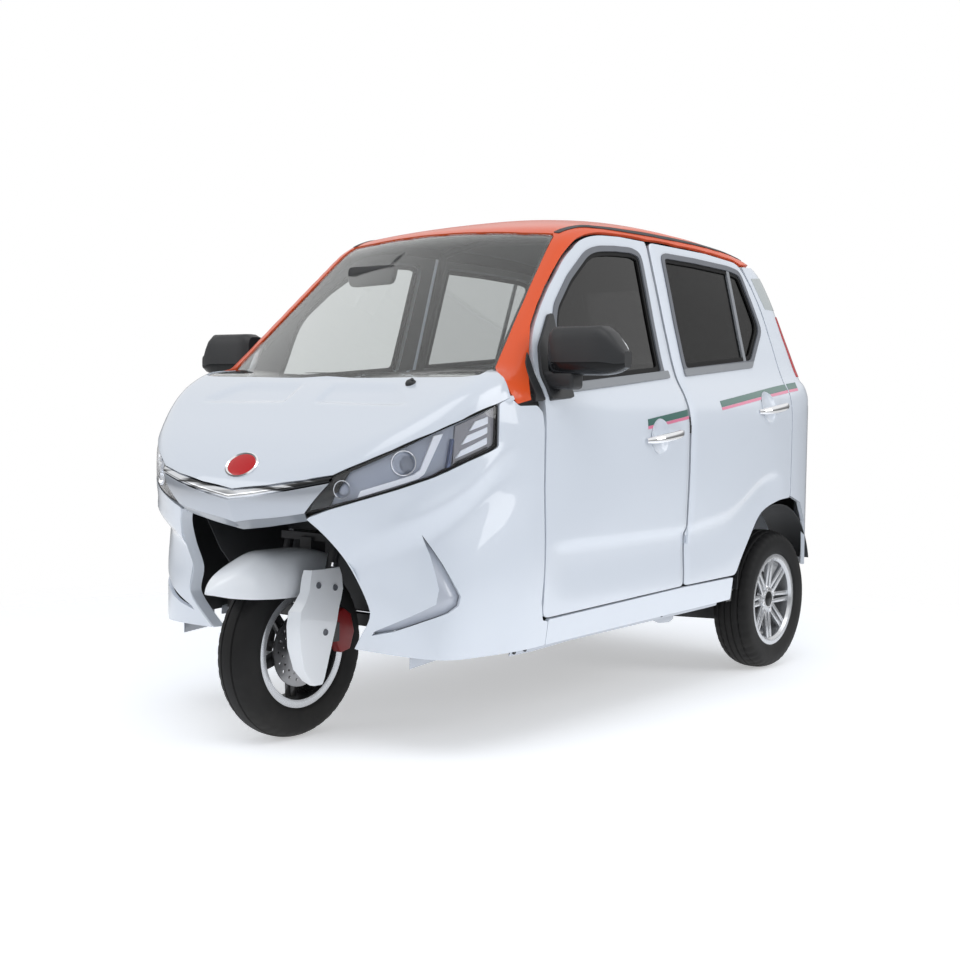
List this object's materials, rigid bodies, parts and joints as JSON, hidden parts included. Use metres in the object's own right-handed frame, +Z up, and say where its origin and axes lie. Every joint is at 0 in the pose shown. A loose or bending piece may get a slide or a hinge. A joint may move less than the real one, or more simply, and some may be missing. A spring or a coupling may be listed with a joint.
{
  "type": "enclosed electric tricycle",
  "caption": "Enclosed passenger electric tricycle with a closed cab, side doors, a tailgate and one steered front wheel.",
  "frame": {"origin": "on the ground, under the middle of the bounding box", "axes": "+Z up, -Y is the front, +X is the vehicle's left"},
  "size_m": [1.696, 2.62, 1.6079],
  "materials": {
    "white_paint": "gloss",
    "orange_paint": "gloss",
    "silver_paint": "gloss",
    "lamp_clear": "clear",
    "lamp_red": "gloss",
    "clear_glass": "clear",
    "dark_glass": "dark tint",
    "black_steel": "satin",
    "black_plastic": "matte",
    "seat_cloth": "grained",
    "chrome_trim": "polished",
    "tyre_rubber": "matte",
    "black_alloy": "satin",
    "silver_alloy": "satin"
  },
  "bodies": {
    "body": {"battery_pack": "black_plastic", "bonnet": "white_paint", "cage_frame": "black_steel", "chassis_frame": "black_steel", "dashboard": "black_plastic", "driver_seat": "seat_cloth", "floor_pan": "black_steel", "front_panel_left": "white_paint", "front_panel_right": "white_paint", "headlamps": "lamp_clear", "nose_band": "silver_paint", "rear_axle": "black_steel", "rear_body": "white_paint", "rear_seat": "seat_cloth", "roof_shell": "orange_paint", "sills": "white_paint", "steering_neck": "black_steel", "tail_lamps": "lamp_red", "windscreen": "clear_glass"},
    "steering": {"steering_fork": "black_steel", "handlebar": "black_plastic", "front_mudguard": "white_paint", "fork_covers": "white_paint"},
    "front_wheel": {"front_tyre": "tyre_rubber", "front_rim": "black_alloy"},
    "rear_wheel_left": {"rear_tyre_left": "tyre_rubber", "rear_rim_left": "silver_alloy"},
    "rear_wheel_right": {"rear_tyre_right": "tyre_rubber", "rear_rim_right": "silver_alloy"},
    "door_front_left": {"door_front_left": "white_paint", "glass_front_left": "dark_glass", "handle_front_left": "chrome_trim", "mirror_left": "black_plastic"},
    "door_front_right": {"door_front_right": "white_paint", "glass_front_right": "dark_glass", "handle_front_right": "chrome_trim", "mirror_right": "black_plastic"},
    "door_rear_left": {"door_rear_left": "white_paint", "glass_rear_left": "dark_glass", "handle_rear_left": "chrome_trim"},
    "door_rear_right": {"door_rear_right": "white_paint", "glass_rear_right": "dark_glass", "handle_rear_right": "chrome_trim"},
    "tailgate": {"tailgate": "white_paint", "tailgate_glass": "dark_glass"}
  },
  "joints": [
    {"name": "steering", "type": "hinge", "parent": "body", "child": "steering", "pos_m": [0, -0.85582, 0.6], "axis": [0, 0.2588, 0.9659], "range_deg": [-35, 35]},
    {"name": "front_wheel_spin", "type": "hinge", "parent": "steering", "child": "front_wheel", "pos_m": [0, -0.978, 0.256], "axis": [1, 0, 0], "continuous": true},
    {"name": "rear_wheel_left_spin", "type": "hinge", "parent": "body", "child": "rear_wheel_left", "pos_m": [0.516, 0.97, 0.256], "axis": [1, 0, 0], "continuous": true},
    {"name": "rear_wheel_right_spin", "type": "hinge", "parent": "body", "child": "rear_wheel_right", "pos_m": [-0.516, 0.97, 0.256], "axis": [1, 0, 0], "continuous": true},
    {"name": "door_front_left_hinge", "type": "hinge", "parent": "body", "child": "door_front_left", "pos_m": [0.628, -0.608, 0.7], "axis": [0, 0, -1], "range_deg": [0, 65]},
    {"name": "door_front_right_hinge", "type": "hinge", "parent": "body", "child": "door_front_right", "pos_m": [-0.628, -0.608, 0.7], "axis": [0, 0, 1], "range_deg": [0, 65]},
    {"name": "door_rear_left_hinge", "type": "hinge", "parent": "body", "child": "door_rear_left", "pos_m": [0.628, 0.209, 0.7], "axis": [0, 0, -1], "range_deg": [0, 65]},
    {"name": "door_rear_right_hinge", "type": "hinge", "parent": "body", "child": "door_rear_right", "pos_m": [-0.628, 0.209, 0.7], "axis": [0, 0, 1], "range_deg": [0, 65]},
    {"name": "tailgate_hinge", "type": "hinge", "parent": "body", "child": "tailgate", "pos_m": [0, 1.003, 1.493], "axis": [1, 0, 0], "range_deg": [0, 75]}
  ]
}
